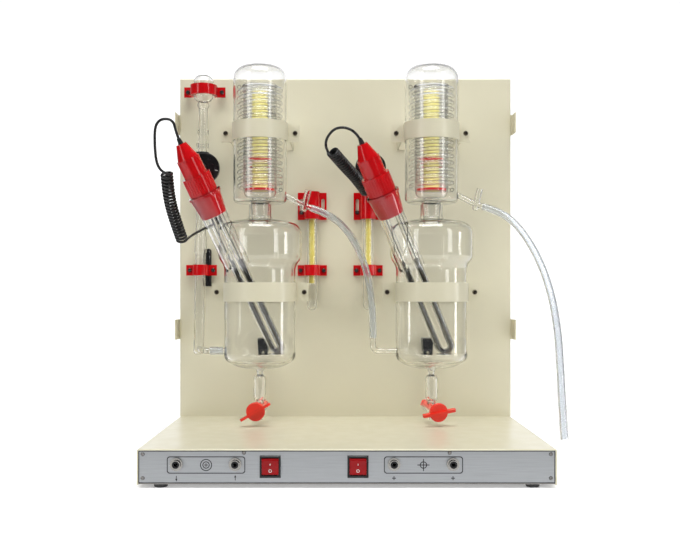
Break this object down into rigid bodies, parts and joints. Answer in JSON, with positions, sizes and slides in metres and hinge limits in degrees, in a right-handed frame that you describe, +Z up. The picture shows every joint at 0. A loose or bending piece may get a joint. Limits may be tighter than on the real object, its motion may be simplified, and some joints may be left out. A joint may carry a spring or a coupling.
{
  "type": "two-stage glass water still on a sheet-metal stand",
  "caption": "Bench double water distiller: glass boiling flasks with condensers, slanted quartz immersion heaters, drain stopcocks and a level tube on a cream metal stand",
  "frame": {"origin": "on the floor under the middle of the bounding box, cords left out", "axes": "+X to the right of someone facing the front, +Y to the rear, +Z up"},
  "size_m": [0.6389, 0.42, 0.668],
  "materials": {
    "cream_paint": "semi-gloss",
    "front_aluminium": "brushed",
    "steel": "plain",
    "dark_screw": "blackened",
    "nickel": "polished",
    "black_rubber": "matt",
    "black_plastic": "satin",
    "red_plastic": "satin",
    "orange_red_plastic": "gloss",
    "red_rubber": "satin",
    "clear_glass": "polished",
    "quartz": "polished",
    "element_sheath": "heat-darkened",
    "amber": "ribbed",
    "yellow_core": "gloss",
    "clear_tube": "soft"
  },
  "bodies": {
    "stand": {"base_tray": "cream_paint", "bottom_plate": "steel", "front_plate": "front_aluminium", "cover_screws": "steel", "feet": "black_rubber", "back_panel": "cream_paint", "rear_cover": "cream_paint", "shield_hooks": "cream_paint", "water_barbs": "nickel", "mains_gland": "black_plastic", "rocker_bezels": "black_plastic", "jack_sockets": "nickel", "upper_bands": "cream_paint", "lower_bands": "cream_paint", "band_brackets": "cream_paint", "flask_left": "clear_glass", "flask_right": "clear_glass", "condenser_left": "clear_glass", "condenser_right": "clear_glass", "condenser_coils": "clear_glass", "amber_cores": "amber", "core_rings": "red_plastic", "heater_cap_left": "red_plastic", "heater_cap_right": "red_plastic", "heater_stoppers": "red_rubber", "heater_tubes": "quartz", "heater_elements": "element_sheath", "level_tube": "clear_glass", "level_sleeve": "clear_tube", "level_probe": "black_plastic", "tube_clips": "red_plastic", "clip_posts": "black_plastic", "pan_screws": "dark_screw", "valve_bodies": "black_plastic", "thermostats": "black_plastic", "grommets": "black_rubber", "link_hose": "clear_tube", "outlet_hose": "clear_tube", "lead_left": "black_rubber", "curl_left": "black_rubber", "tail_left": "black_rubber", "lead_right": "black_rubber", "curl_right": "black_rubber", "tail_right": "black_rubber"},
    "rocker_left_body": {"rocker_left": "red_plastic"},
    "stopcock_left_body": {"stopcock_key_left": "orange_red_plastic", "stopcock_nut_left": "orange_red_plastic"},
    "water_knob_left_body": {"water_knob_left": "black_plastic"},
    "sensor_left_body": {"sensor_holder_left": "red_plastic", "sensor_tube_left": "clear_glass", "sensor_core_left": "yellow_core"},
    "heater_collar_left_body": {"heater_collar_left": "red_plastic"},
    "rocker_right_body": {"rocker_right": "red_plastic"},
    "stopcock_right_body": {"stopcock_key_right": "orange_red_plastic", "stopcock_nut_right": "orange_red_plastic"},
    "water_knob_right_body": {"water_knob_right": "black_plastic"},
    "sensor_right_body": {"sensor_holder_right": "red_plastic", "sensor_tube_right": "clear_glass", "sensor_core_right": "yellow_core"},
    "heater_collar_right_body": {"heater_collar_right": "red_plastic"}
  },
  "joints": [
    {"name": "rocker_tilt_left", "type": "hinge", "parent": "stand", "child": "rocker_left_body", "pos_m": [-0.1093, -0.2007, 0.031], "axis": [1, 0, 0], "range_deg": [-14, 0]},
    {"name": "stopcock_turn_left", "type": "hinge", "parent": "stand", "child": "stopcock_left_body", "pos_m": [-0.146, 0.046, 0.084], "axis": [-0.1387, -0.9872, -0.0785], "range_deg": [-75, 15]},
    {"name": "water_knob_turn_left", "type": "hinge", "parent": "stand", "child": "water_knob_left_body", "pos_m": [-0.248, 0.09, 0.499], "axis": [0, 1, 0], "range_deg": [0, 270]},
    {"name": "sensor_slide_left", "type": "slide", "parent": "stand", "child": "sensor_left_body", "axis": [0, 0, 1], "range_m": [-0.018, 0]},
    {"name": "heater_collar_turn_left", "type": "hinge", "parent": "stand", "child": "heater_collar_left_body", "pos_m": [-0.23909, -0.0166, 0.45819], "axis": [0.3855, 0.2854, -0.8775], "continuous": true},
    {"name": "rocker_tilt_right", "type": "hinge", "parent": "stand", "child": "rocker_right_body", "pos_m": [0.016, -0.2007, 0.031], "axis": [1, 0, 0], "range_deg": [-14, 0]},
    {"name": "stopcock_turn_right", "type": "hinge", "parent": "stand", "child": "stopcock_right_body", "pos_m": [0.146, 0.046, 0.084], "axis": [0.2735, -0.9537, -0.1253], "range_deg": [-54, 36]},
    {"name": "water_knob_turn_right", "type": "hinge", "parent": "stand", "child": "water_knob_right_body", "pos_m": [0.044, 0.09, 0.499], "axis": [0, 1, 0], "range_deg": [0, 270]},
    {"name": "sensor_slide_right", "type": "slide", "parent": "stand", "child": "sensor_right_body", "axis": [0, 0, 1], "range_m": [-0.018, 0]},
    {"name": "heater_collar_turn_right", "type": "hinge", "parent": "stand", "child": "heater_collar_right_body", "pos_m": [0.05291, -0.0166, 0.45819], "axis": [0.3855, 0.2854, -0.8775], "continuous": true}
  ]
}
